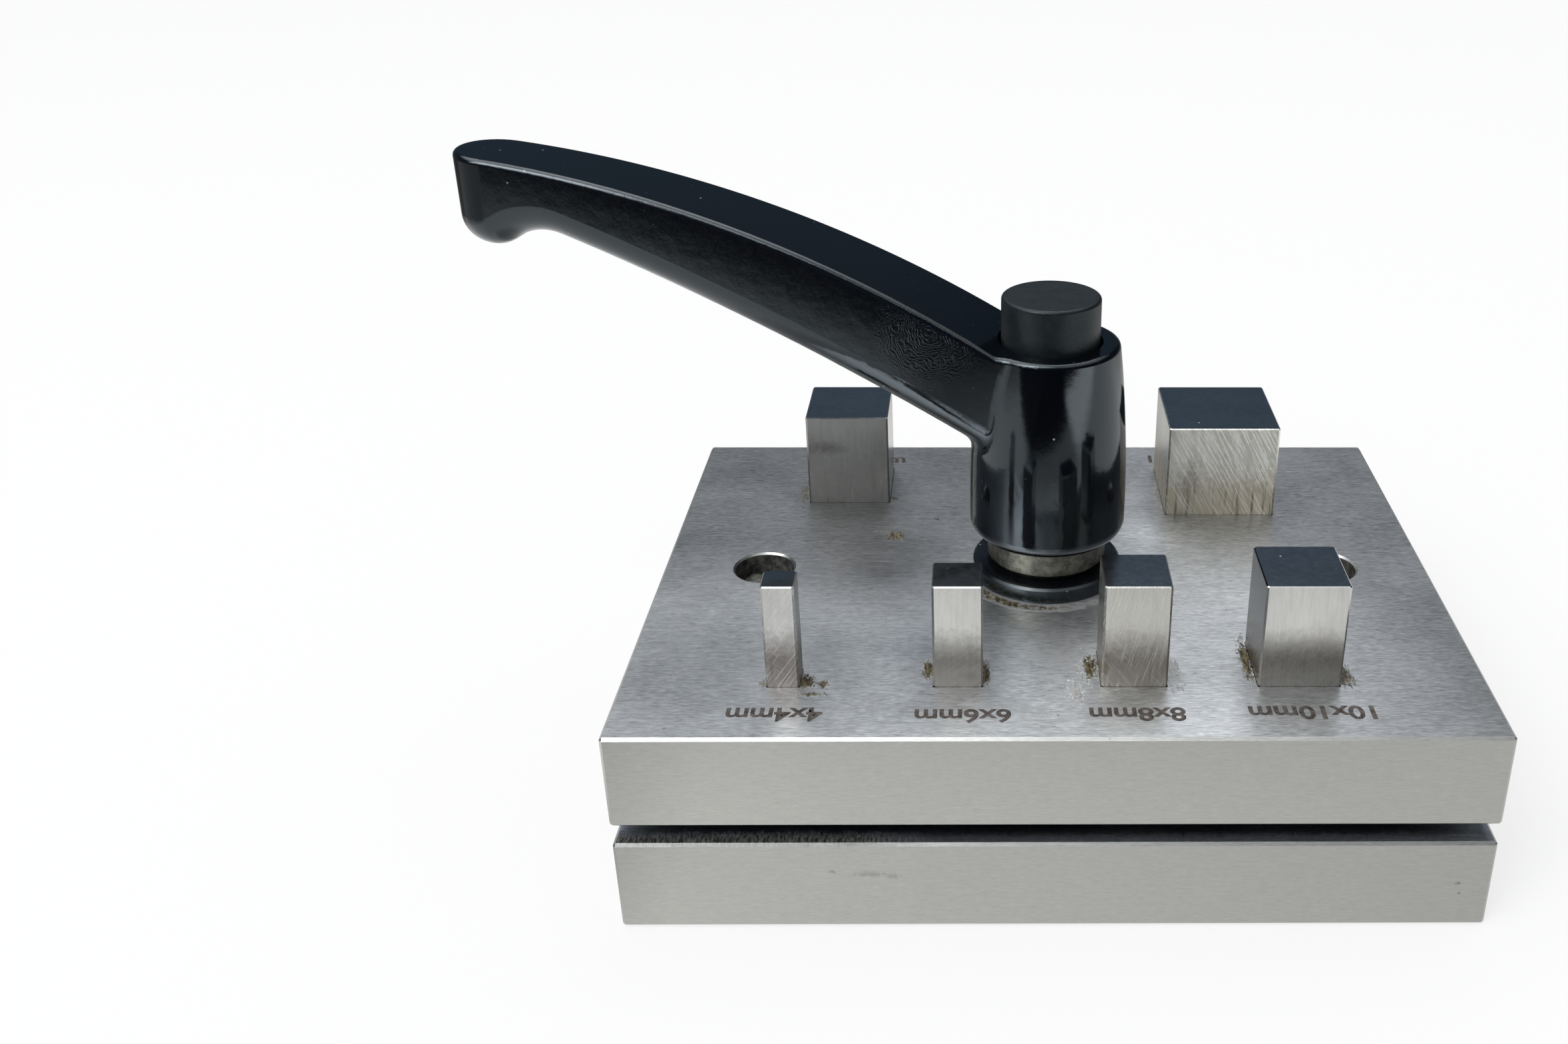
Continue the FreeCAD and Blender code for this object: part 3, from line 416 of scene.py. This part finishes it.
button = {"low": (0.003, 0.0048, 0.0055), "high": (0.007, 0.0095, 0.0105), "rough": (0.32, 0.46),
          "tint": (0.8, 0.94, 1, 1), "shine": 0.38}


def buttonPlastic():
    material, tree, shader = startMaterial("button plastic")
    grain = noise(tree, place(tree, (5, 5, 5)), 4, 0.6)
    patch = noise(tree, place(tree, (0.5, 0.5, 0.5)), 4, 0.6)
    tree.links.new(blend(tree, span(tree, patch, 0.35, 0.65), button["low"], button["high"]),
                   shader.inputs["Base Color"])
    tree.links.new(span(tree, grain, 0.3, 0.7, *button["rough"]), shader.inputs["Roughness"])
    shader.inputs["Specular Tint"].default_value = button["tint"]
    shader.inputs["Specular IOR Level"].default_value = button["shine"]
    relief(tree, shader, (grain, 0.00002), (patch, 0.00003))
    return material


dress(buttonPlastic(), "release_button")
print("finishes on")


# Springs: copies of the spring meshes in spring steel, with the originals hidden

def workingSpring(node):
    coil = bpy.data.objects.new("working_" + node, nodes[node].data.copy())
    bpy.context.scene.collection.objects.link(coil)
    for slot in coil.material_slots:
        slot.link = "OBJECT"
        slot.material = springSteel
    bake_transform(coil)
    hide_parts(node)


workingSpring("lift_spring")
workingSpring("lever_spring")
print("springs on")


# Size marks, burnt into the guide plate

sizeMarks = [("4x4mm", (-33.1, -35.2), 11.3, True), ("6x6mm", (-11.05, -35.5), 11.3, True),
             ("8x8mm", (9.4, -35.2), 11.3, True), ("10x10mm", (29.9, -34.9), 14.85, True),
             ("12x12mm", (-28.4, 35.2), 14.85, False), ("16x16mm", (25.1, 35.2), 14.85, False)]
markStroke = {"high": 2.8, "thicken": 0.025, "proud": 0.012,
              "low": (0.045, 0.038, 0.034), "light": (0.15, 0.13, 0.12)}


def markInk():
    material, tree, shader = startMaterial("laser mark")
    burn = noise(tree, place(tree, (1.4, 1.4, 1.4)), 5, 0.65)
    tree.links.new(blend(tree, span(tree, burn, 0.38, 0.66), markStroke["low"], markStroke["light"]),
                   shader.inputs["Base Color"])
    tree.links.new(span(tree, burn, 0.3, 0.7, 0.45, 0.65), shader.inputs["Roughness"])
    shader.inputs["Metallic"].default_value = 0.5
    relief(tree, shader, (burn, 0.00002))
    return material


ink = markInk()
for text, middle, wide, upsideDown in sizeMarks:
    words = bpy.data.curves.new("mark_" + text, "FONT")
    words.body = text
    words.align_x = "CENTER"
    words.align_y = "CENTER"
    words.resolution_u = 4
    words.offset = markStroke["thicken"]
    drawn = bpy.data.objects.new("drawn_" + text, words)
    bpy.context.scene.collection.objects.link(drawn)
    bpy.context.view_layer.update()
    mesh = bpy.data.meshes.new_from_object(drawn)
    bpy.data.objects.remove(drawn)
    bpy.data.curves.remove(words)
    across = [vertex.co.x for vertex in mesh.vertices]
    along = [vertex.co.y for vertex in mesh.vertices]
    scale = (wide * mm / (max(across) - min(across)), markStroke["high"] * mm / (max(along) - min(along)))
    centre = ((max(across) + min(across)) / 2, (max(along) + min(along)) / 2)
    way = -1 if upsideDown else 1
    for vertex in mesh.vertices:
        vertex.co = ((vertex.co.x - centre[0]) * scale[0] * way + middle[0] * mm,
                     (vertex.co.y - centre[1]) * scale[1] * way + middle[1] * mm,
                     (plateTop + markStroke["proud"]) * mm)
    mesh.materials.append(ink)
    mark = bpy.data.objects.new("size_mark_" + text, mesh)
    bpy.context.scene.collection.objects.link(mark)
    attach(mark, "guide_plate")
print("size marks on")


# Floor, light and camera

floor = {"left": -2.6, "right": 2.6, "front": -0.34, "back": 4.5, "drop": 0.00008,
         "tone": (0.9, 0.9, 0.89, 1), "glow": 0.7, "leftBegins": (-68, -89), "rightBegins": (92, 120)}


def paleFloor():
    shape = bmesh.new()
    bmesh.ops.create_grid(shape, x_segments=1, y_segments=1, size=1)
    across = (floor["right"] - floor["left"]) / 2
    along = (floor["back"] - floor["front"]) / 2
    bmesh.ops.scale(shape, vec=(across, along, 1), verts=shape.verts)
    bmesh.ops.translate(shape, vec=(0, floor["front"] + along, -floor["drop"]), verts=shape.verts)
    mesh = bpy.data.meshes.new("floor")
    shape.to_mesh(mesh)
    shape.free()
    ground = bpy.data.objects.new("floor", mesh)
    bpy.context.scene.collection.objects.link(ground)
    material, tree, shader = startMaterial("pale floor")
    shader.inputs["Base Color"].default_value = floor["tone"]
    shader.inputs["Roughness"].default_value = 0.9
    x, y = axes(tree)[:2]
    # What the gloss and the steel mirror: bright beside the cutter, dark farther out, brightest on the right
    leaning = reckon(tree, "ADD", y, reckon(tree, "MULTIPLY", x, 0.35))
    middle = total(tree, "MULTIPLY", span(tree, y, -125, -98, 0.55, 1), span(tree, leaning, -180, -160, 0.03, 1),
                   span(tree, x, -78, -48, 0.35, 1))
    slanted = reckon(tree, "SUBTRACT", y, reckon(tree, "MULTIPLY", x, 0.45))
    left = reckon(tree, "MULTIPLY", span(tree, slanted, -116, -90, 0.03, 1.15), span(tree, x, -300, -185, 0.3, 1))
    right = reckon(tree, "MULTIPLY", span(tree, y, -150, -100, 2.2, 1), span(tree, y, -320, -280, 0.05, 1))
    onLeft, onRight = span(tree, x, *floor["leftBegins"]), span(tree, x, *floor["rightBegins"])
    shown = reckon(tree, "MULTIPLY", middle, reckon(tree, "SUBTRACT", 1, reckon(tree, "ADD", onLeft, onRight)))
    shown = total(tree, "ADD", shown, reckon(tree, "MULTIPLY", left, onLeft),
                  reckon(tree, "MULTIPLY", right, onRight))
    shown = reckon(tree, "MULTIPLY", shown, span(tree, y, 95, 180, 1, 0.25))
    light = tree.nodes.new("ShaderNodeLightPath")
    mirrored = reckon(tree, "MAXIMUM", light.outputs["Is Glossy Ray"], light.outputs["Is Transmission Ray"])
    white = tree.nodes.new("ShaderNodeEmission")
    white.inputs["Color"].default_value = (1, 1, 1, 1)
    strength = reckon(tree, "ADD", light.outputs["Is Camera Ray"], reckon(tree, "MULTIPLY", mirrored, shown))
    tree.links.new(strength, white.inputs["Strength"])
    mix = tree.nodes.new("ShaderNodeMixShader")
    share = reckon(tree, "ADD", reckon(tree, "MULTIPLY", light.outputs["Is Camera Ray"], floor["glow"]), mirrored)
    tree.links.new(share, mix.inputs["Fac"])
    tree.links.new(shader.outputs["BSDF"], mix.inputs[1])
    tree.links.new(white.outputs["Emission"], mix.inputs[2])
    tree.links.new(mix.outputs["Shader"], tree.nodes["Material Output"].inputs["Surface"])
    mesh.materials.append(material)


paleFloor()


skyBands = [(0.49, (0.02, 0.02, 0.025)), (0.50, (0.12, 0.13, 0.14)), (0.56, (0.08, 0.1, 0.12)),
            (0.64, (0.045, 0.07, 0.1)), (0.78, (0.06, 0.085, 0.115)), (0.845, (1.4, 1.42, 1.44)),
            (0.905, (2.7, 2.7, 2.7)), (0.95, (2.3, 2.3, 2.3))]  # share of the way from nadir to zenith
sky = {"below": (0.02, 0.02, 0.025, 1), "zenith": (1.6, 1.6, 1.6, 1), "rightDim": 0.4, "window": 6,
       "spread": (0.55, 0.56, 0.58), "backdrop": (1.0, 1.0, 1.0)}


def studioWorld():
    world = bpy.data.worlds.new("studio")
    world.use_nodes = True
    bpy.context.scene.world = world
    tree = world.node_tree
    coords = tree.nodes.new("ShaderNodeTexCoord")
    parts = tree.nodes.new("ShaderNodeSeparateXYZ")
    tree.links.new(coords.outputs["Generated"], parts.inputs["Vector"])
    x, y, z = [parts.outputs[letter] for letter in "XYZ"]
    height = tree.nodes.new("ShaderNodeValToRGB")
    band = height.color_ramp
    for end, at, colour in ((0, 0, sky["below"]), (1, 1, sky["zenith"])):
        band.elements[end].position = at
        band.elements[end].color = colour
    for at, colour in skyBands:
        stop = band.elements.new(at)
        stop.color = (*colour, 1)
    tree.links.new(span(tree, z, -1, 1), height.inputs["Fac"])
    rightward = total(tree, "SUBTRACT", reckon(tree, "MULTIPLY", x, 0.966), reckon(tree, "MULTIPLY", y, 0.259))
    room = dim(tree, height.outputs["Color"], span(tree, rightward, -0.02, 0.25, 1, sky["rightDim"]))
    leftward = total(tree, "SUBTRACT", reckon(tree, "MULTIPLY", y, 0.309), reckon(tree, "MULTIPLY", x, 0.951))
    window = total(tree, "MULTIPLY", span(tree, leftward, 0.08, 0.2), span(tree, y, -0.25, -0.45),
                   span(tree, z, 0.3, 0.55, 0, sky["window"]))
    lit = tree.nodes.new("ShaderNodeVectorMath")
    lit.operation = "ADD"
    tree.links.new(room, lit.inputs[0])
    tree.links.new(window, lit.inputs[1])
    light = tree.nodes.new("ShaderNodeLightPath")
    room = blend(tree, light.outputs["Is Diffuse Ray"], lit.outputs["Vector"], sky["spread"])
    seen = blend(tree, light.outputs["Is Camera Ray"], room, sky["backdrop"])
    tree.links.new(seen, tree.nodes["Background"].inputs["Color"])


studioWorld()


softboxes = {
    "front softbox": {"where": (-0.45, -0.5, 0.95), "wide": 0.9, "high": 0.7, "power": 2.4},
    "back softbox": {"where": (0.05, 0.25, 1.1), "wide": 0.8, "high": 0.6, "power": 1.2}}
lampTarget = (0, 0, 0.03)


def softbox(name, look):
    lamp = bpy.data.lights.new(name, "AREA")
    lamp.shape = "RECTANGLE"
    lamp.size = look["wide"]
    lamp.size_y = look["high"]
    lamp.energy = look["power"]
    box = bpy.data.objects.new(name, lamp)
    box.location = look["where"]
    box.rotation_euler = (Vector(lampTarget) - Vector(look["where"])).to_track_quat("-Z", "Y").to_euler()
    bpy.context.scene.collection.objects.link(box)


for name, look in softboxes.items():
    softbox(name, look)


viewpoint = {"sensor": 36, "lens": 34.22, "shift": (-0.1345, -0.0290), "nearest": 0.005,
             "stand": (-8.837, -179.904, 128.126), "right": (0.999961, -0.007924, 0.003777),
             "up": (0.0000364, 0.433984, 0.900921), "back": (-0.008778, -0.900886, 0.433968)}


def photographersView():
    view = bpy.data.cameras.new("camera")
    view.sensor_width = viewpoint["sensor"]
    view.lens = viewpoint["lens"]
    view.shift_x, view.shift_y = viewpoint["shift"]
    view.clip_start = viewpoint["nearest"]
    camera = bpy.data.objects.new("camera", view)
    bpy.context.scene.collection.objects.link(camera)
    turn = Matrix([viewpoint[way] for way in ("right", "up", "back")]).transposed().to_4x4()
    camera.matrix_world = Matrix.Translation(Vector(viewpoint["stand"]) * mm) @ turn
    bpy.context.scene.camera = camera


photographersView()
bpy.context.scene.view_settings.view_transform = "Standard"
print("floor, light and camera set")
